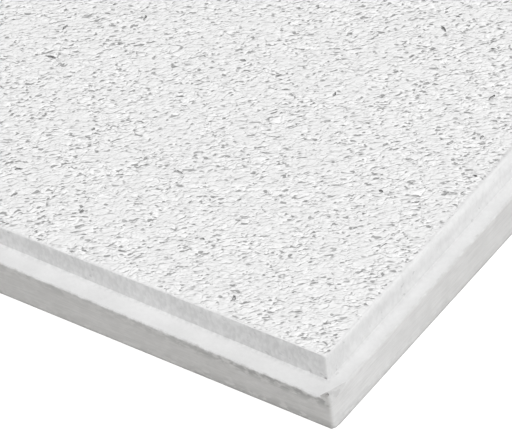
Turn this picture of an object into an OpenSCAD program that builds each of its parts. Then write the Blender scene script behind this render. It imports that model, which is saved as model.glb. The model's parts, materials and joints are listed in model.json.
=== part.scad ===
// Suspended ceiling tile with a stepped edge and a fissured face.
// The board lies on its back with its face up.
// The origin is the middle of the back, and +Z points out of the face.

/* [Board] */
// Width of the board across its back, along X
board_w = 594; // [294:1:1194]
// Length of the board across its back, along Y
board_l = 594; // [294:1:1194]
// Thickness of the board from its back to its face
board_t = 15; // [12:0.5:24]

/* [Stepped edge] */
// Width of the ledge that lies on the flange of the ceiling grid
ledge_w = 5; // [4:0.5:12]
// Height of the riser, which is how far the face hangs below the grid
riser_h = 6; // [4:0.5:9]
// Radius that the edge cutter leaves at the foot of the riser
foot_r = 0.6; // [0.2:0.1:1.5]
// Chamfer along the edge of the face
face_arris = 0.4; // [0.2:0.1:1]
// Chamfer along the outer edge of the ledge
ledge_arris = 0.3; // [0.2:0.1:1]
// Chamfer along the edge of the back
back_arris = 0.3; // [0.2:0.1:1]

/* [Fissures] */
// Mean spacing of the open fissures over the face
fissure_pitch = 26; // [18:1:60]
// Length of the shortest fissure
fissure_min_l = 1.2; // [1:0.1:2]
// Length of the longest fissure
fissure_max_l = 2.8; // [2.2:0.1:9]
// Width of a fissure at its middle
fissure_w = 0.9; // [0.4:0.1:2]
// Depth of the deepest fissure
fissure_d = 0.8; // [0.3:0.1:2]
// Border inside the edge of the face that no fissure enters
fissure_border = 3; // [1:0.5:12]
// Number that picks the scatter of the fissures
fissure_seed = 7; // [1:1:99]

/* [Knocked corner] */
// Reach of the knock along the front edge of the back
knock_x = 1; // [0.5:0.1:4]
// Reach of the knock along the right-hand edge of the back
knock_y = 2.6; // [0.5:0.1:6]
// Reach of the knock up the corner
knock_h = 1.6; // [0.5:0.1:4]

/* [Hidden] */

// Painted mineral fibre
tile_colour = [0.93, 0.93, 0.92];

// Height of the ledge above the back
ledge_z = board_t - riser_h;
// Size of the face inside its chamfer
face_w = board_w - 2 * (ledge_w + face_arris);
face_l = board_l - 2 * (ledge_w + face_arris);

// Straight pieces in the quarter round at the foot of the riser
foot_steps = 4;
// How far a cutter reaches past the surface that it cuts
overcut = 1;

// Cells of the scatter: each one holds one fissure, so no two fissures meet
cells_x = floor((face_w - 2 * fissure_border) / fissure_pitch);
cells_y = floor((face_l - 2 * fissure_border) / fissure_pitch);
cell_x = (face_w - 2 * fissure_border) / cells_x;
cell_y = (face_l - 2 * fissure_border) / cells_y;
cell_count = cells_x * cells_y;

// Half width of a fissure at four places round its outline, as shares of its full width
flank_min = 0.25;
flank_max = 0.6;
// Shallowest fissure, as a share of the deepest
shallow_share = 0.5;

// One random number for each fissure, between low and high
function scatter(low, high, stream) = rands(low, high, cell_count, fissure_seed * 100 + stream);

fissure_l = scatter(fissure_min_l, fissure_max_l, 1);
fissure_turn = scatter(0, 180, 2);
fissure_deep = scatter(fissure_d * shallow_share, fissure_d, 3);
shift_x = scatter(-(cell_x - fissure_max_l) / 2, (cell_x - fissure_max_l) / 2, 4);
shift_y = scatter(-(cell_y - fissure_max_l) / 2, (cell_y - fissure_max_l) / 2, 5);
flanks = [for (side = [0:3]) scatter(fissure_w * flank_min, fissure_w * flank_max, 6 + side)];

// Direction into the board, square to the flat that the knock leaves
knock_slope = [-1 / knock_x, 1 / knock_y, 1 / knock_h];
// Side of the block that takes the tip of the corner off
knock_cutter = 4 * max(knock_x, knock_y, knock_h);

// Half of the edge's outline, from the back up to the face, for a board of this width
function edge_outline(width) = let (side = width / 2, riser = side - ledge_w) concat(
    [[side - back_arris, 0], [side, back_arris]],
    [[side, ledge_z - ledge_arris], [side - ledge_arris, ledge_z]],
    [for (i = [0:foot_steps]) let (turn = 270 - 90 * i / foot_steps)
        [riser + foot_r + foot_r * cos(turn), ledge_z + foot_r + foot_r * sin(turn)]],
    [[riser, board_t - face_arris], [riser - face_arris, board_t]]);

// Section across the whole board, with the stepped edge at both ends
module board_section(width) {
    right = edge_outline(width);
    polygon(concat(right, [for (i = [len(right) - 1:-1:0]) [-right[i][0], right[i][1]]]));
}

// The board as it leaves the edge cutters, which run along one pair of sides and then along the other
module cut_board() {
    intersection() {
        rotate([90, 0, 0])
            linear_extrude(board_l + 2 * overcut, center = true) board_section(board_w);
        rotate([90, 0, 90])
            linear_extrude(board_w + 2 * overcut, center = true) board_section(board_l);
    }
}

// Outline of one fissure: a crooked slit, pointed at both ends
module fissure_outline(i) {
    tip = fissure_l[i] / 2;
    polygon([[-tip, 0], [-tip / 3, -flanks[0][i]], [tip / 2, -flanks[1][i]],
             [tip, 0], [tip / 4, flanks[2][i]], [-tip / 2, flanks[3][i]]]);
}

// All the fissures, as cutters that reach down from above the face
module fissures() {
    for (ix = [0:cells_x - 1], iy = [0:cells_y - 1]) {
        i = ix * cells_y + iy;
        x = (ix - (cells_x - 1) / 2) * cell_x + shift_x[i];
        y = (iy - (cells_y - 1) / 2) * cell_y + shift_y[i];
        translate([x, y, board_t - fissure_deep[i]])
            rotate(fissure_turn[i])
                linear_extrude(fissure_deep[i] + overcut) fissure_outline(i);
    }
}

// The crushed tip of one back corner, cut off by a slanting flat through the three reaches of the knock
module corner_knock() {
    translate([board_w / 2, -board_l / 2, 0])
        rotate([0, acos(knock_slope[2] / norm(knock_slope)), atan2(knock_slope[1], knock_slope[0])])
            translate([0, 0, 1 / norm(knock_slope) - knock_cutter / 2])
                cube(knock_cutter, center = true);
}

module tile() {
    color(tile_colour)
        difference() {
            cut_board();
            fissures();
            corner_knock();
        }
}

tile();
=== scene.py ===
import json
import math

import bmesh
import bpy
from mathutils import Matrix, Vector, noise


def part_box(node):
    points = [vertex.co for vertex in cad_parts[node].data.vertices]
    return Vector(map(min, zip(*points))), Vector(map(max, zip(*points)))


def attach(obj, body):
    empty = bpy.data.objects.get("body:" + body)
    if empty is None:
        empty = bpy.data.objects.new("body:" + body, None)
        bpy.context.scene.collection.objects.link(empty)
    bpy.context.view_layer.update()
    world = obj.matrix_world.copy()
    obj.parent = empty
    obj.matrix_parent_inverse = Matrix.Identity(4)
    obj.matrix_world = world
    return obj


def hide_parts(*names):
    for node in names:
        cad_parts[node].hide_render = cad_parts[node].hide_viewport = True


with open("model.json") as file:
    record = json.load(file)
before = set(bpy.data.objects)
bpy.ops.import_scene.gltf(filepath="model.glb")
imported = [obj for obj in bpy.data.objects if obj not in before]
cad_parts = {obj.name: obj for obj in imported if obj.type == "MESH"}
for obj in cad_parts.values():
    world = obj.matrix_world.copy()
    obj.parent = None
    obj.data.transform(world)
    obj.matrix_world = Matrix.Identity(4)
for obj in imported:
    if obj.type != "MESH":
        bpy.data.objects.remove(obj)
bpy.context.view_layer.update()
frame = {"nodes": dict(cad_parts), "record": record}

# The board is one slab of felted mineral fibre, sawn square and routed along its four sides.
# The router leaves the ledge that lies on the ceiling grid, and the riser from there up to the face.
# The cut strays by about a millimetre, and every edge is torn fibre that wanders a little.
MM = 0.001
board_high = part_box("tile")[1]
half_side = board_high.x
face_height = board_high.z
mounts = {mount["name"]: mount for mount in frame["record"]["mounts"]}
ledge_height = mounts["ledge_right"]["pos_m"][2]

# Each pair has a value for the front and rear, and then one for the right and left
ledge_widths = (5.1 * MM, 3.9 * MM)
ledge_rises = (0.8 * MM, 0.55 * MM)
face_roundings = (0.45 * MM, 2.8 * MM)
foot_radii = (0.6 * MM, 2.0 * MM)
back_leans = (0.0, 0.25 * MM)
# At the corners the ledge lies low and the edges are sharper, and over this distance they settle
settled = 90 * MM
corner_dip = 0.64 * MM
corner_rounding = 0.15 * MM
corner_foot_radius = 0.6 * MM
# Edges that are alike all round, and the band on both sides of the ledge's torn edge
ledge_arris = 0.3 * MM
back_arris = 0.08 * MM
torn_band = 1.3 * MM
# Fibre that the torn edges lose, inwards and downwards
sawn_loss = 0.04 * MM
torn_loss = 0.12 * MM
arris_drop = 0.08 * MM
riser_loss = 0.10 * MM
rounded_loss = 0.14 * MM
rounded_drop = 0.09 * MM

# One radius round the corner for each row of the section: sides and ledge, riser, edge of the face
corner_radii = [0.9 * MM] * 6 + [0.4 * MM] * 5 + [0.15 * MM] * 6
# One finish for each strip between two rows
FACE, STEP, SIDE, BACK = range(4)
strip_finishes = [SIDE] * 3 + [STEP] * 10 + [FACE] * 3
# Places of the section along a side: close round the corner, fine near it and coarse in the middle
corner_offsets = (0, 0.3 * MM, 0.6 * MM, 0.9 * MM)
fine_reach = 130 * MM
fine_steps = 200
coarse_steps = 100


def ledge_stray(pair, from_corner):
    """How far the ledge lies off its true height: low at the corner, then high, then true again."""
    run = from_corner / settled
    rise = ledge_rises[pair]
    return (corner_dip + rise) * min(1, run) - corner_dip - rise * min(1, max(0, run - 1))


def edge_section(pair, from_corner):
    """The edge at one place, from the back up: inset, height, and the fibre lost inwards and downwards."""
    share = min(1, from_corner / settled)
    width = ledge_widths[pair]
    lean = back_leans[pair]
    ledge = ledge_height + ledge_stray(pair, from_corner)
    rounding = corner_rounding + (face_roundings[pair] - corner_rounding) * share
    foot = corner_foot_radius + (foot_radii[pair] - corner_foot_radius) * math.sqrt(share)
    foot_bend = foot * (1 - math.sqrt(0.5))
    section = [
        (back_arris - lean, 0, sawn_loss, 0),
        (-lean, back_arris, sawn_loss, 0),
        (0, ledge - torn_band, sawn_loss, 0),
        (0, ledge - ledge_arris, torn_loss, torn_loss),
        (ledge_arris, ledge, torn_loss, arris_drop),
        (torn_band, ledge, 0, 0),
        (width - foot, ledge, torn_loss, 0),
        (width - foot_bend, ledge + foot_bend, torn_loss, 0),
        (width, ledge + foot, riser_loss, 0),
    ]
    plain_riser = face_height - rounding - ledge - foot
    section += [(width, ledge + foot + plain_riser * third / 3, riser_loss, 0) for third in (1, 2)]
    for turn in (0, 22.5, 45, 67.5, 90):
        out = math.cos(math.radians(turn))
        up = math.sin(math.radians(turn))
        inset = width + rounding * (1 - out)
        section.append((inset, face_height - rounding * (1 - up), rounded_loss * out, rounded_drop))
    section.append((width + rounding + MM, face_height, 0, 0))
    return section


def fibre_lost(point, row):
    """Share of the loss at a point of an edge: a wander of about a half, and a chip here and there."""
    apart = Vector((7.3, 3.1, 5.7)) * row
    fine = noise.noise(point / (1.6 * MM) + apart)
    broad = noise.noise(point / (7 * MM) + apart)
    chip = noise.noise(point / (2.6 * MM) - apart) - 0.35
    return max(0, 0.45 + 0.35 * fine + 0.35 * broad) + 2 * max(0, chip)


def edge_column(side, share):
    """Points of the section at a share of a side, from its left end as it is seen from outside."""
    pair = side % 2
    turn = Matrix.Rotation(side * math.pi / 2, 3, "Z")
    from_corner = min(share, 1 - share) * 2 * half_side
    section = edge_section(pair, from_corner)
    ends = edge_section(1 - pair, 0)
    column = []
    for row, (inset, height, lost_in, lost_down) in enumerate(section):
        end = half_side - ends[row][0]
        along = end * (2 * share - 1)
        point = Vector((along, inset - half_side, height))
        inward = Vector((0, 1, 0))
        radius = corner_radii[row]
        # Past the bend the row turns round the corner of the board
        bend = Vector((math.copysign(end - radius, along), point.y + radius, height))
        if abs(along) > abs(bend.x):
            point = bend + (point - bend).normalized() * radius
            inward = (bend - point).normalized()
        lost = fibre_lost(turn @ point, row)
        column.append(turn @ (point + inward * lost_in * lost - Vector((0, 0, lost_down * lost))))
    return column


def new_object(name, shape, *finishes):
    """An object in the scene, made of a shape that is used up, with its finishes."""
    mesh = bpy.data.meshes.new(name)
    shape.to_mesh(mesh)
    shape.free()
    for finish in finishes:
        mesh.materials.append(finish)
    made = bpy.data.objects.new(name, mesh)
    bpy.context.scene.collection.objects.link(made)
    return made


places = list(corner_offsets)
fine_run = fine_reach - corner_offsets[-1]
places += [corner_offsets[-1] + fine_run * step / fine_steps for step in range(1, fine_steps + 1)]
mirrored = [1 - place / (2 * half_side) for place in places]
coarse_run = 2 * (half_side - fine_reach)
places += [fine_reach + coarse_run * step / coarse_steps for step in range(1, coarse_steps)]
shares = [place / (2 * half_side) for place in places] + mirrored[:0:-1]

board_shape = bmesh.new()
columns = []
for side in range(4):
    for share in shares:
        columns.append([board_shape.verts.new(point) for point in edge_column(side, share)])
for number, column in enumerate(columns):
    after = columns[(number + 1) % len(columns)]
    for row, finish in enumerate(strip_finishes):
        strip = board_shape.faces.new((column[row], after[row], after[row + 1], column[row + 1]))
        strip.material_index = finish
board_shape.faces.new([column[0] for column in reversed(columns)]).material_index = BACK
board_shape.faces.new([column[-1] for column in columns]).material_index = FACE
board = new_object("tile_board", board_shape)

# The back and the sawn sides are bare mineral fibre: warm grey, matt, with the lines that the saw left.
# The paint that was sprayed on the step ends at a torn line along the top of each side.
# The right and left sides also caught a mist of that paint, which is thickest near the corners.
raw_colour = (0.513, 0.507, 0.497, 1)
thin_paint_colour = (0.74, 0.74, 0.74, 1)
# Each way from the line where two sides meet, a value changes to the other side's over this distance
side_turn = 0.8 * MM
# Nearly all of a noise lies within this span
noise_span = (0.3, 0.7)


def add(tree, kind, inputs=None, **settings):
    """Adds a node. An input is given by its name or number, as a value or as the socket that feeds it."""
    made = tree.nodes.new(kind)
    for name, value in settings.items():
        setattr(made, name, value)
    for key, value in (inputs or {}).items():
        if isinstance(value, bpy.types.NodeSocket):
            tree.links.new(value, made.inputs[key])
        else:
            made.inputs[key].default_value = value
    return made


def calc(tree, operation, first, second=0.0, third=0.0):
    """Result of one sum on values or sockets."""
    return add(tree, "ShaderNodeMath", {0: first, 1: second, 2: third}, operation=operation).outputs[0]


def product(tree, first, *others):
    """All the values multiplied together."""
    for other in others:
        first = calc(tree, "MULTIPLY", first, other)
    return first


def vector_calc(tree, operation, inputs):
    """Result of one sum on vectors or sockets."""
    return add(tree, "ShaderNodeVectorMath", inputs, operation=operation).outputs[0]


def ramp(tree, value, start, end, low, high, interpolation="LINEAR"):
    """Goes from low to high as the value goes from start to end, straight unless told otherwise."""
    sockets = {"Value": value, "From Min": start, "From Max": end, "To Min": low, "To Max": high}
    return add(tree, "ShaderNodeMapRange", sockets, interpolation_type=interpolation).outputs["Result"]


def fade(tree, value, start, end, low=0.0, high=1.0):
    """Goes smoothly from low to high as the value goes from start to end."""
    return ramp(tree, value, start, end, low, high, "SMOOTHSTEP")


def blend(tree, share, first, second):
    """A colour between two others."""
    return add(tree, "ShaderNodeMix", {0: share, 6: first, 7: second}, data_type="RGBA").outputs[2]


def toned(tree, colour, tone):
    """A colour made lighter or darker by a tone that is 1 where it stays as it is."""
    return vector_calc(tree, "SCALE", {0: colour, "Scale": tone})


def grain(tree, vector, size, detail=2.0, roughness=0.5, distortion=0.0):
    """Noise from 0 to 1 with grains of one size."""
    sockets = {"Vector": vector, "Scale": calc(tree, "DIVIDE", 1.0, size),
               "Detail": detail, "Roughness": roughness, "Distortion": distortion}
    return add(tree, "ShaderNodeTexNoise", sockets).outputs["Fac"]


def parts_of(tree, vector):
    """The X, Y and Z of a vector."""
    return add(tree, "ShaderNodeSeparateXYZ", {0: vector}).outputs


def out_from_middle(tree, place):
    """How far a place lies from the middle of the board, along X and along Y."""
    axes = parts_of(tree, place)
    return calc(tree, "ABSOLUTE", axes["X"]), calc(tree, "ABSOLUTE", axes["Y"])


def inset_at(tree, place):
    """How far a place lies inside the outer faces of the board."""
    return calc(tree, "SUBTRACT", half_side, calc(tree, "MAXIMUM", *out_from_middle(tree, place)))


def from_corner_at(tree, place):
    """Distance of a place on the edge from the nearest corner."""
    return calc(tree, "SUBTRACT", half_side, calc(tree, "MINIMUM", *out_from_middle(tree, place)))


def by_side(tree, place, on_front, on_right):
    """One value along the front and rear, and another along the right and left."""
    nearer_right = calc(tree, "SUBTRACT", *out_from_middle(tree, place))
    return fade(tree, nearer_right, -side_turn, side_turn, on_front, on_right)


def ledge_at(tree, place):
    """Height of the ledge beside a place."""
    away = from_corner_at(tree, place)
    rise = by_side(tree, place, *ledge_rises)
    climb = ramp(tree, away, 0.0, settled, -corner_dip, rise)
    descent = ramp(tree, away, settled, 2 * settled, 0.0, rise)
    return calc(tree, "ADD", calc(tree, "SUBTRACT", climb, descent), ledge_height)


def effect_group(name, inputs, outputs):
    """A group of shader nodes with a place and some numbers to go in, and numbers to come out."""
    tree = bpy.data.node_groups.new(name, "ShaderNodeTree")
    tree.interface.new_socket("Place", in_out="INPUT", socket_type="NodeSocketVector")
    for socket in inputs:
        tree.interface.new_socket(socket, in_out="INPUT", socket_type="NodeSocketFloat")
    for socket in outputs:
        tree.interface.new_socket(socket, in_out="OUTPUT", socket_type="NodeSocketFloat")
    return tree, add(tree, "NodeGroupInput").outputs


# The height of the felt, and how far each place lies in a crevice
felt_inputs = ["Size", "Detail", "Crevice from", "Crevice to"]
felt_grain, given = effect_group("felt_grain", felt_inputs, ["Height", "Crevice"])
felt_height = grain(felt_grain, given["Place"], given["Size"], given["Detail"], distortion=0.3)
felt_crevice = fade(felt_grain, felt_height, given["Crevice from"], given["Crevice to"])
add(felt_grain, "NodeGroupOutput", {"Height": felt_height, "Crevice": felt_crevice})

# Soft patches, from the darkest tone to the lightest
soft_patches, given = effect_group("soft_patches", ["Size", "Darkest", "Lightest"], ["Tone"])
patch_noise = grain(soft_patches, given["Place"], given["Size"])
patch_tone = fade(soft_patches, patch_noise, *noise_span, given["Darkest"], given["Lightest"])
add(soft_patches, "NodeGroupOutput", {"Tone": patch_tone})

# Paint that reaches over the edge of the ledge, down to a ragged line
torn_paint_edge, given = effect_group("torn_paint_edge", ["Reach", "Raggedness"], ["Painted"])
tree = torn_paint_edge
paint_blur = 0.5 * MM
here = given["Place"]
below_ledge = calc(tree, "SUBTRACT", ledge_at(tree, here), parts_of(tree, here)["Z"])
over_edge = calc(tree, "SUBTRACT", inset_at(tree, here), below_ledge)
within_reach = calc(tree, "ADD", over_edge, given["Reach"])
ragged_line = calc(tree, "SUBTRACT", grain(tree, here, 2.2 * MM, detail=4.0, roughness=0.6), 0.5)
past_line = calc(tree, "MULTIPLY_ADD", ragged_line, given["Raggedness"], within_reach)
add(tree, "NodeGroupOutput", {"Painted": fade(tree, past_line, -paint_blur, paint_blur)})


def effect(tree, group, place, **values):
    """Places a group in a material, with its own values, and gives what comes out of it."""
    inputs = {name.replace("_", " ").capitalize(): value for name, value in values.items()}
    return add(tree, "ShaderNodeGroup", {"Place": place, **inputs}, node_tree=group).outputs


def new_finish(name, roughness):
    """A material with its shader, and the place on the board that its patterns read."""
    finish = bpy.data.materials.new(name)
    finish.use_nodes = True
    tree = finish.node_tree
    shader = tree.nodes["Principled BSDF"]
    shader.inputs["Roughness"].default_value = roughness
    shader.inputs["Specular IOR Level"].default_value = 0.2
    place = add(tree, "ShaderNodeTexCoord").outputs["Object"]
    return finish, tree, shader, place


def finish_with(tree, shader, colour, height):
    """Feeds the colour and the relief, whose height is in metres, to the shader."""
    tree.links.new(colour, shader.inputs["Base Color"])
    bump = add(tree, "ShaderNodeBump", {"Height": height, "Strength": 1.0, "Distance": 1.0})
    tree.links.new(bump.outputs["Normal"], shader.inputs["Normal"])


def misted_fibre(tree, place):
    """Colour of the bare fibre: grey along the front and rear, misted along the right and left."""
    thickness = fade(tree, from_corner_at(tree, place), 10 * MM, 50 * MM, 0.60, 0.40)
    mist = product(tree, by_side(tree, place, 0.0, 1.0), thickness)
    return blend(tree, mist, raw_colour, thin_paint_colour)


def painted_at(tree, place):
    """Where the paint of the step reaches, down to its torn line over the edge of the ledge."""
    reach = by_side(tree, place, 0.25 * MM, -0.2 * MM)
    return effect(tree, torn_paint_edge, place, reach=reach, raggedness=2.4 * MM)["Painted"]


side_finish, tree, shader, place = new_finish("sawn_fibre_side", 0.95)
axes = parts_of(tree, place)
# The saw's lines change slowly along a side and fast up it
along_side = product(tree, calc(tree, "ADD", axes["X"], axes["Y"]), 0.06)
saw_place = add(tree, "ShaderNodeCombineXYZ", {"X": along_side, "Z": axes["Z"]}).outputs[0]
saw_lines = grain(tree, saw_place, 0.45 * MM, detail=3.0, roughness=0.6)
drawn_place = add(tree, "ShaderNodeMapping", {"Vector": place, "Scale": (0.55, 0.55, 1)}).outputs[0]
felt = effect(tree, felt_grain, drawn_place, size=1.1 * MM, detail=5.0, crevice_from=0.62, crevice_to=0.44)
# Torn fibre makes dark blotches under the edge of the ledge and above the back, most of all near a corner
below = calc(tree, "SUBTRACT", ledge_at(tree, place), axes["Z"])
under_edge = product(tree, fade(tree, below, 3.4 * MM, 1.0 * MM), by_side(tree, place, 0.28, 0.0))
above_back = product(tree, fade(tree, axes["Z"], 3.0 * MM, 1.0 * MM), by_side(tree, place, 0.16, 0.08))
towards_corner = fade(tree, from_corner_at(tree, place), 60 * MM, 15 * MM, 0.3, 1.0)
blotches = product(tree, calc(tree, "ADD", under_edge, above_back), towards_corner)
depth = calc(tree, "ADD", blotches, by_side(tree, place, 0.05, 0.02))
lined = fade(tree, saw_lines, *noise_span, 0.96, 1.055)
sawn = calc(tree, "SUBTRACT", lined, product(tree, felt["Crevice"], depth))
patches = effect(tree, soft_patches, place, size=5 * MM, darkest=0.97, lightest=1.03)["Tone"]
# Painted shade along the foot of each side, where it meets the floor: a thin dark line, and on the right
# and left a broader low band
contact_shade = fade(tree, axes["Z"], 0.2 * MM, 0.8 * MM, 0.8, 1.0)
low_band_shade = fade(tree, axes["Z"], 0.5 * MM, 2.5 * MM, by_side(tree, place, 1.0, 0.96), 1.0)
tone = product(tree, sawn, patches, contact_shade, low_band_shade)
bare = toned(tree, misted_fibre(tree, place), tone)
colour = blend(tree, painted_at(tree, place), bare, thin_paint_colour)
relief = product(tree, calc(tree, "ADD", saw_lines, felt["Height"]), 0.10 * MM)
finish_with(tree, shader, colour, relief)

back_finish, tree, shader, place = new_finish("bare_fibre_back", 0.95)
felt = effect(tree, felt_grain, place, size=1.5 * MM, detail=4.0, crevice_from=0.5, crevice_to=0.3)
patches = effect(tree, soft_patches, place, size=40 * MM, darkest=0.95, lightest=1.04)["Tone"]
tone = product(tree, fade(tree, felt["Crevice"], 0.0, 1.0, 1.0, 0.82), patches)
finish_with(tree, shader, toned(tree, raw_colour[:3], tone), product(tree, felt["Height"], 0.3 * MM))

chip_finish, tree, shader, place = new_finish("chipped_fibre", 0.95)
felt = effect(tree, felt_grain, place, size=1.1 * MM, detail=4.0, crevice_from=0.55, crevice_to=0.35)
tone = product(tree, fade(tree, felt["Crevice"], 0.0, 1.0, 1.0, 0.88), by_side(tree, place, 0.86, 0.94))
colour = toned(tree, misted_fibre(tree, place), tone)
finish_with(tree, shader, colour, product(tree, felt["Height"], 0.2 * MM))


# The step is sprayed with the same matt white paint as the face, over smooth routed fibre.
# The coat is thin, so the riser is softly mottled, with a dark speck here and there.
# Light and shade are painted into its tone from the foot of the riser up to its shoulder, and its tone
# changes along each side.
def inside_riser(tree, place):
    """How far a place lies inside the riser. It is below zero on the ledge."""
    out_x, out_y = out_from_middle(tree, place)
    from_right = calc(tree, "SUBTRACT", half_side - ledge_widths[1], out_x)
    from_front = calc(tree, "SUBTRACT", half_side - ledge_widths[0], out_y)
    return calc(tree, "MINIMUM", from_right, from_front)


def rounding_at(tree, place):
    """Radius of the edge of the face beside a place."""
    away = from_corner_at(tree, place)
    return ramp(tree, away, 0.0, settled, corner_rounding, by_side(tree, place, *face_roundings))


def foot_at(tree, place):
    """Radius of the foot of the riser beside a place."""
    share = fade(tree, from_corner_at(tree, place), 0.0, settled)
    wider = calc(tree, "SUBTRACT", by_side(tree, place, *foot_radii), corner_foot_radius)
    return calc(tree, "MULTIPLY_ADD", calc(tree, "SQRT", share), wider, corner_foot_radius)


step_finish, tree, shader, place = new_finish("painted_step", 0.9)
height = parts_of(tree, place)["Z"]
inside = inside_riser(tree, place)
from_corner = from_corner_at(tree, place)
on_riser = fade(tree, inside, -1.2 * MM, -0.4 * MM)

felt = effect(tree, felt_grain, place, size=1.6 * MM, detail=2.0, crevice_from=0.33, crevice_to=0.24)
broad = effect(tree, soft_patches, place, size=7 * MM, darkest=0.97, lightest=1.03)["Tone"]
upright_place = add(tree, "ShaderNodeMapping", {"Vector": place, "Scale": (1, 1, 0.6)}).outputs[0]
close = effect(tree, soft_patches, upright_place, size=0.9 * MM, darkest=-0.07, lightest=0.07)["Tone"]
mottle = product(tree, close, calc(tree, "MULTIPLY_ADD", on_riser, by_side(tree, place, 0.8, 0.3), 0.2))
specks = product(tree, felt["Crevice"], calc(tree, "MULTIPLY_ADD", on_riser, 0.16, 0.02))
mottled = calc(tree, "SUBTRACT", calc(tree, "ADD", broad, mottle), specks)

ledge_here = ledge_at(tree, place)
above_ledge = calc(tree, "SUBTRACT", height, ledge_here)
# Painted light and shade round the foot of the riser. On the front and rear the foot is painted lighter
# and the ledge beside it darker; on the right and left a painted shade runs up to the fillet and a painted
# light round it
foot_end = by_side(tree, place, 0.5 * MM, 0.6 * MM)
round_foot = calc(tree, "DIVIDE", inside, foot_at(tree, place))
foot_dim = fade(tree, from_corner, 20 * MM, 62 * MM, 0.94, 0.965)
foot_lit = fade(tree, above_ledge, 0.0, foot_end, 1.0, by_side(tree, place, 1.17, 1.0))
foot_shade = fade(tree, round_foot, -1.1, -0.4, 1.0, by_side(tree, place, 1.0, foot_dim))
fillet_light = fade(tree, round_foot, -0.4, -0.05, 1.0, by_side(tree, place, 1.0, 1.165))
crease_shade = fade(tree, inside, -1.5 * MM, -0.3 * MM, 1.0, by_side(tree, place, 0.94, 1.0))

# Painted shade up the riser towards its shoulder, and painted light on the rounded shoulder; far along the
# right and left these turn to a little painted light up the riser and painted shade on the shoulder
shoulder = product(tree, rounding_at(tree, place), by_side(tree, place, 1.0, 2.2))
shoulder_foot = calc(tree, "SUBTRACT", face_height, shoulder)
riser_top = calc(tree, "SUBTRACT", shoulder_foot, ledge_here)
top_by_corner = by_side(tree, place, 0.865, 0.92)
top_farther = by_side(tree, place, 0.83, 1.02)
top_shade = fade(tree, from_corner, 0.0, settled, top_by_corner, top_farther)
riser_shade = fade(tree, above_ledge, foot_end, riser_top, 1.0, top_shade)
shoulder_by_corner = by_side(tree, place, 1.18, 1.09)
shoulder_farther = by_side(tree, place, 1.18, 0.91)
shoulder_shade = fade(tree, from_corner, 0.0, settled, shoulder_by_corner, shoulder_farther)
shoulder_lit = fade(tree, height, shoulder_foot, face_height, 1.0, shoulder_shade)

riser_by_corner = by_side(tree, place, 0.922, 0.955)
riser_farther = by_side(tree, place, 1.002, 0.957)
riser_along = fade(tree, from_corner, 0.0, 50 * MM, riser_by_corner, riser_farther)
ledge_from = by_side(tree, place, 0.0, 20 * MM)
ledge_to = by_side(tree, place, 40 * MM, 62 * MM)
ledge_by_corner = by_side(tree, place, 0.95, 0.958)
ledge_farther = by_side(tree, place, 1.003, 0.988)
ledge_along = fade(tree, from_corner, ledge_from, ledge_to, ledge_by_corner, ledge_farther)
along = add(tree, "ShaderNodeMix", {0: on_riser, 2: ledge_along, 3: riser_along}).outputs[0]

tone = product(tree, mottled, foot_lit, foot_shade, fillet_light,
               riser_shade, crease_shade, shoulder_lit, along)
painted = toned(tree, thin_paint_colour[:3], tone)
colour = blend(tree, painted_at(tree, place), misted_fibre(tree, place), painted)
finish_with(tree, shader, colour, product(tree, felt["Height"], 0.10 * MM))

# The face is sprayed matt white over the rough grain of the felted fibre, like fine stucco.
# The grain runs one way and wanders, in coarse and fine patches, and the coat fills it along the edge.
# Shade is painted grey into the crevices, with a painted highlight on their rims, and the coarse patches
# are painted a little lighter to even that shade out.
face_finish, tree, shader, place = new_finish("painted_face", 0.9)
paint_colour = (0.928, 0.928, 0.928, 1)
felt_run = math.radians(37)
felt_stretch = 1.75
felt_shift = (13 * MM, 7 * MM, 0)
wander_size = 4 * MM
wander_reach = 1.8 * MM
finest = 0.58
coarsest = 1.25
grain_depth = 1.3 * MM
lump_depth = 0.12 * MM

wander_noise = {"Vector": place, "Scale": 1 / wander_size, "Detail": 1.0}
wander = add(tree, "ShaderNodeTexNoise", wander_noise).outputs["Color"]
wander = vector_calc(tree, "SUBTRACT", {0: wander, 1: (0.5, 0.5, 0.5)})
wandered = vector_calc(tree, "MULTIPLY_ADD", {0: wander, 1: (wander_reach,) * 3, 2: place})
felt_frame = {"Vector": wandered, "Location": felt_shift,
              "Rotation": (0, 0, felt_run), "Scale": (felt_stretch, 1, 1)}
felt_place = add(tree, "ShaderNodeMapping", felt_frame, vector_type="TEXTURE").outputs[0]
felt = effect(tree, felt_grain, felt_place, size=0.85 * MM, detail=1.0,
              crevice_from=0.375, crevice_to=0.30)
lumps = grain(tree, place, 3.0 * MM)

half_rounded = product(tree, rounding_at(tree, place), 0.5)
past_edge = calc(tree, "SUBTRACT", inside_riser(tree, place), half_rounded)
clear_of_edge = fade(tree, past_edge, -0.2 * MM, 0.7 * MM)
patches = effect(tree, soft_patches, place, size=4.5 * MM, darkest=finest, lightest=coarsest)["Tone"]
coarseness = product(tree, clear_of_edge, patches)

# The pores darken with depth: partly the bare grey fibre that the paint missed, partly painted shade
in_pore = fade(tree, parts_of(tree, place)["Z"], face_height, face_height - 0.25 * MM, 0.0, 0.4)
pore_shade = product(tree, in_pore, clear_of_edge)
# Painted shade in the crevices of the felt, deepest on the coarse patches
crevice_shade = product(tree, felt["Crevice"], coarseness, 0.66)
# A painted highlight on the rims of the crevices
rim_light = product(tree, fade(tree, felt["Height"], 0.365, 0.41), fade(tree, felt["Height"], 0.47, 0.41))
rim_lit = calc(tree, "MULTIPLY_ADD", product(tree, rim_light, coarseness), 0.11, 1.0)
shade = calc(tree, "SUBTRACT", calc(tree, "SUBTRACT", rim_lit, crevice_shade), pore_shade)
# Painted shade along the edge of the face, where the grain fades out next to the rounding, deeper on the
# right and left
edge_shade = fade(tree, clear_of_edge, 0.0, 1.0, by_side(tree, place, 0.89, 0.84), 1.0)
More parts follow.
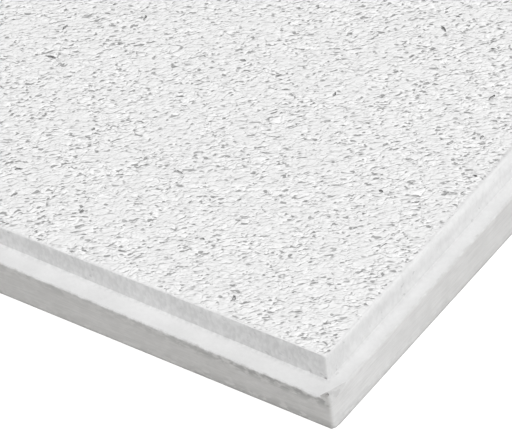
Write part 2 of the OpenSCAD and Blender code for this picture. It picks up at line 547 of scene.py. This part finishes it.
# The coarse patches are painted a little lighter, to even out the painted shade of their crevices
thickness = fade(tree, patches, finest, coarsest, 0.96, 1.04)
coat = product(tree, calc(tree, "MAXIMUM", shade, 0.45), edge_shade, thickness)

bumps = product(tree, calc(tree, "SUBTRACT", felt["Height"], 0.5), grain_depth, coarseness)
relief = calc(tree, "ADD", bumps, product(tree, lumps, lump_depth, clear_of_edge))
finish_with(tree, shader, toned(tree, paint_colour[:3], coat), relief)

for finish in (face_finish, step_finish, side_finish, back_finish):
    board.data.materials.append(finish)

# The near corner was knocked in handling: two flats at the back, and a chip and a nick in the ledge.
# Crumbs also broke out of the riser beside it, before it was painted.
# The flats, the chip and the nick show the bare fibre.
corner_ledge = ledge_height - corner_dip
back_corner = Vector((half_side + back_leans[1], -half_side, 0))
ledge_corner = Vector((half_side, -half_side, corner_ledge))
cutter_spread = 2.5


def knock_cutter(name, corner, reach_x, reach_y, reach_up, finish):
    """A cutter that takes a corner off by a flat through three reaches along its edges."""
    reaches = [Vector((-reach_x, 0, 0)), Vector((0, reach_y, 0)), Vector((0, 0, reach_up))]
    middle = sum(reaches, Vector()) / 3
    outside = -sum(reaches, Vector()) * cutter_spread
    cutter = bmesh.new()
    for reach in reaches:
        cutter.verts.new(corner + middle + (reach - middle) * cutter_spread)
    cutter.verts.new(corner + outside)
    bmesh.ops.convex_hull(cutter, input=cutter.verts)
    bmesh.ops.recalc_face_normals(cutter, faces=cutter.faces)
    return new_object(name, cutter, finish)


def nick_cutter(name, nicks, finish):
    """Small pits: each has its distance from the right and the front, its height and its half sizes."""
    pits = bmesh.new()
    for from_right, from_front, height, half_size in nicks:
        here = Matrix.Translation((half_side - from_right, from_front - half_side, height))
        shape = here @ Matrix.Diagonal((*half_size, 1))
        bmesh.ops.create_icosphere(pits, subdivisions=1, radius=1, matrix=shape)
    return new_object(name, pits, finish)


steep_knock = knock_cutter("steep_knock", back_corner, 0.9 * MM, 1.3 * MM, 1.4 * MM, side_finish)
long_knock = knock_cutter("long_knock", back_corner, 0.35 * MM, 2.9 * MM, 0.9 * MM, side_finish)
ledge_chip = knock_cutter("ledge_chip", ledge_corner, 3.0 * MM, 7.0 * MM, -1.2 * MM, chip_finish)
ledge_nick = nick_cutter("ledge_nick", [
    (1.8 * MM, 1.4 * MM, corner_ledge, (0.42 * MM, 0.62 * MM, 1.3 * MM))], back_finish)
foot_nicks = nick_cutter("foot_nicks", [
    (4.6 * MM, 5.0 * MM, corner_ledge + 0.2 * MM, (0.4 * MM, 0.3 * MM, 0.35 * MM)),
    (8.6 * MM, 5.0 * MM, corner_ledge + 0.5 * MM, (0.4 * MM, 0.25 * MM, 0.3 * MM)),
    (23.7 * MM, 5.1 * MM, face_height - 2.3 * MM, (0.3 * MM, 0.2 * MM, 0.35 * MM))], step_finish)

# The fissures are the open pores of the felted fibre, scattered over the face before it is painted.
# The longest are those of the solid tile, and the finer ones lie between them.
# All of them, and the knocks, are cut out of the board, which is then the finished tile.
# The floors of the solid's fissures, drawn up through the face, make the cutter of the longest
deep_shape = bmesh.new()
deep_shape.from_mesh(frame["nodes"]["tile"].data)
bmesh.ops.remove_doubles(deep_shape, verts=deep_shape.verts, dist=0.001 * MM)
lowest_floor = ledge_height + MM
highest_floor = face_height - 0.05 * MM
floors = {face for face in deep_shape.faces
          if face.normal.z > 0.9 and lowest_floor < face.calc_center_median().z < highest_floor}
others = [face for face in deep_shape.faces if face not in floors]
bmesh.ops.delete(deep_shape, geom=others, context="FACES")
walls = bmesh.ops.extrude_face_region(deep_shape, geom=deep_shape.faces[:])["geom"]
for vertex in (part for part in walls if isinstance(part, bmesh.types.BMVert)):
    vertex.co.z = face_height + MM
bmesh.ops.recalc_face_normals(deep_shape, faces=deep_shape.faces)
deep_fissures = new_object("deep_fissures", deep_shape)

tree = bpy.data.node_groups.new("fissured_face", "GeometryNodeTree")
tree.interface.new_socket("Geometry", in_out="INPUT", socket_type="NodeSocketGeometry")
tree.interface.new_socket("Geometry", in_out="OUTPUT", socket_type="NodeSocketGeometry")
sizes = {"Spacing": 4.2 * MM, "Shortest": 1.0 * MM, "Longest": 2.3 * MM,
         "Narrowest": 0.38 * MM, "Widest": 0.65 * MM,
         "Shallowest": 0.35 * MM, "Deepest": 0.8 * MM, "Raggedness": 0.15 * MM}
cutters = {"Deep fissures": deep_fissures, "Steep knock": steep_knock, "Long knock": long_knock,
           "Ledge chip": ledge_chip, "Ledge nick": ledge_nick, "Foot nicks": foot_nicks}
settings = {**sizes, "Seed": 11, **cutters, "Paint": face_finish}
identifiers = {}
for kind, names in (("Float", sizes), ("Int", ["Seed"]), ("Object", cutters), ("Material", ["Paint"])):
    for name in names:
        socket = tree.interface.new_socket(name, in_out="INPUT", socket_type="NodeSocket" + kind)
        identifiers[name] = socket.identifier
given = add(tree, "NodeGroupInput").outputs

here = add(tree, "GeometryNodeInputPosition").outputs[0]
border = by_side(tree, here, 1.8 * MM, 3.0 * MM)
within_face = calc(tree, "GREATER_THAN", inside_riser(tree, here), border)
near_top = calc(tree, "GREATER_THAN", parts_of(tree, here)["Z"], face_height - 1.5 * MM)
on_face = product(tree, within_face, near_top)
upward = parts_of(tree, add(tree, "GeometryNodeInputNormal").outputs[0])["Z"]
on_flat = product(tree, on_face, calc(tree, "GREATER_THAN", upward, 0.99))
scatter = add(tree, "GeometryNodeDistributePointsOnFaces",
              {"Mesh": given["Geometry"], "Selection": on_flat, "Distance Min": given["Spacing"],
               "Density Max": 60000.0, "Seed": given["Seed"]}, distribute_method="POISSON")


def random_between(low, high, stream):
    """A random size for each fissure, from its own stream of numbers."""
    return add(tree, "FunctionNodeRandomValue", {2: low, 3: high, "Seed": stream}).outputs[1]


# Each pore is cut by a six-sided cone that points down and is stretched along the run of the felt.
# The cone stands out of the face by a share of its depth, and its top is wider by the same share.
pore_spread = math.radians(35)
cone_height = 1.3
cone_top = cone_height / 2
cone_sizes = {"Vertices": 6, "Radius Top": 1.0, "Radius Bottom": 0.0, "Depth": cone_height}
cone = add(tree, "GeometryNodeMeshCone", cone_sizes)
pore = add(tree, "GeometryNodeTransform", {"Geometry": cone.outputs["Mesh"], "Translation": (0, 0, -1.0)})
pore_turn = random_between(felt_run - pore_spread, felt_run + pore_spread, 1)
turn = add(tree, "ShaderNodeCombineXYZ", {"Z": pore_turn}).outputs[0]
size = add(tree, "ShaderNodeCombineXYZ", {
    "X": product(tree, random_between(given["Shortest"], given["Longest"], 2), cone_top),
    "Y": product(tree, random_between(given["Narrowest"], given["Widest"], 3), cone_top),
    "Z": random_between(given["Shallowest"], given["Deepest"], 4)}).outputs[0]
pores = add(tree, "GeometryNodeInstanceOnPoints",
            {"Points": scatter.outputs["Points"], "Instance": pore.outputs[0],
             "Rotation": turn, "Scale": size})
pores = add(tree, "GeometryNodeRealizeInstances", {"Geometry": pores.outputs[0]})
wobble = add(tree, "ShaderNodeTexNoise", {"Scale": 1 / (1.1 * MM), "Detail": 1.0}).outputs["Color"]
wobble = vector_calc(tree, "SUBTRACT", {0: wobble, 1: (0.5, 0.5, 0.5)})
wobble = vector_calc(tree, "MULTIPLY", {0: wobble, 1: (2, 2, 0)})
wobble = vector_calc(tree, "SCALE", {0: wobble, "Scale": given["Raggedness"]})
ragged = add(tree, "GeometryNodeSetPosition", {"Geometry": pores.outputs[0], "Offset": wobble})
cut = add(tree, "GeometryNodeMeshBoolean", {"Mesh 1": given["Geometry"]},
          operation="DIFFERENCE", solver="MANIFOLD")
for name in cutters:
    cutter = add(tree, "GeometryNodeObjectInfo", {"Object": given[name]})
    tree.links.new(cutter.outputs["Geometry"], cut.inputs["Mesh 2"])
tree.links.new(ragged.outputs[0], cut.inputs["Mesh 2"])
painted_face = add(tree, "GeometryNodeSetMaterial",
                   {"Geometry": cut.outputs["Mesh"], "Selection": on_face, "Material": given["Paint"]})
add(tree, "NodeGroupOutput", {"Geometry": painted_face.outputs[0]})

modifier = board.modifiers.new("fissures", "NODES")
modifier.node_group = tree
for name, value in settings.items():
    modifier[identifiers[name]] = value

evaluated = board.evaluated_get(bpy.context.evaluated_depsgraph_get())
tile_mesh = bpy.data.meshes.new_from_object(evaluated)
board.modifiers.remove(modifier)
for cutter in cutters.values():
    bpy.data.objects.remove(cutter)
tile = board
tile.data = tile_mesh
tile.name = "ceiling_tile"
tile_mesh.name = "ceiling_tile"
tile_mesh.set_sharp_from_angle(angle=math.radians(30))
rounded_within = half_side - ledge_widths[1] - face_roundings[1]
for polygon in tile_mesh.polygons:
    near_edge = max(abs(polygon.center.x), abs(polygon.center.y)) > rounded_within
    polygon.use_smooth = near_edge and polygon.material_index != BACK
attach(tile, "root")
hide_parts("tile")

# The floor is a plain pale sheet that the tile lies on.
# It glows a little, so that it stays as white as paper round the tile.
floor_reach = 6
floor_level = -0.1 * MM
floor_shape = bmesh.new()
for x, y in ((-1, -1), (1, -1), (1, 1), (-1, 1)):
    floor_shape.verts.new((x * floor_reach, y * floor_reach, floor_level))
floor_shape.faces.new(floor_shape.verts)
floor_finish, tree, shader, place = new_finish("pale_floor", 0.9)
shader.inputs["Base Color"].default_value = (0.9, 0.9, 0.9, 1)
shader.inputs["Emission Color"].default_value = (1, 1, 1, 1)
shader.inputs["Emission Strength"].default_value = 0.34
floor = new_object("floor", floor_shape, floor_finish)


# Studio light: one large soft lamp from the front right, and an even pale room.
# The lamp faces the near corner of the tile.
def way_to(azimuth, elevation):
    """Unit vector from the tile towards a place at this azimuth and elevation."""
    level = math.cos(elevation)
    return Vector((math.sin(azimuth) * level, -math.cos(azimuth) * level, math.sin(elevation)))


near_corner = Vector((half_side, -half_side, face_height))
lamp_azimuth = math.radians(69.3)
lamp_elevation = math.radians(66.8)
lamp_distance = 5.62
lamp_way = way_to(lamp_azimuth, lamp_elevation)
lamp_data = bpy.data.lights.new("key_lamp", "AREA")
lamp_data.shape = "DISK"
lamp_data.size = 2.0
lamp_data.energy = 238
lamp = bpy.data.objects.new("key_lamp", lamp_data)
lamp.location = near_corner + lamp_way * lamp_distance
lamp.rotation_euler = lamp_way.to_track_quat("Z", "Y").to_euler()
bpy.context.scene.collection.objects.link(lamp)
room = bpy.data.worlds.new("room")
room.use_nodes = True
room_light = room.node_tree.nodes["Background"]
room_light.inputs["Color"].default_value = (1, 1, 1, 1)
room_light.inputs["Strength"].default_value = 0.32
bpy.context.scene.world = room
bpy.context.scene.view_settings.view_transform = "Standard"

# The camera looks down at the near corner of the tile, at the photograph's angle.
# It is turned a little about its own axis, as the photograph is.
photo_width = 512
focal_pixels = 3679.86
sensor_width = 36
view_azimuth = math.radians(39.487)
view_elevation = math.radians(40.602)
view_roll = math.radians(-7.289)
view_distance = 0.8
view_target = near_corner + Vector((-41.106 * MM, 33.194 * MM, 0))
back = way_to(view_azimuth, view_elevation)
level = Vector((math.cos(view_azimuth), math.sin(view_azimuth), 0))
upright = back.cross(level)
right = level * math.cos(view_roll) + upright * math.sin(view_roll)
up = upright * math.cos(view_roll) - level * math.sin(view_roll)
turned = Matrix((right, up, back)).transposed().to_4x4()
camera_data = bpy.data.cameras.new("camera")
camera_data.sensor_width = sensor_width
camera_data.lens = focal_pixels * sensor_width / photo_width
camera = bpy.data.objects.new("camera", camera_data)
camera.matrix_world = Matrix.Translation(view_target + back * view_distance) @ turned
bpy.context.scene.collection.objects.link(camera)
bpy.context.scene.camera = camera
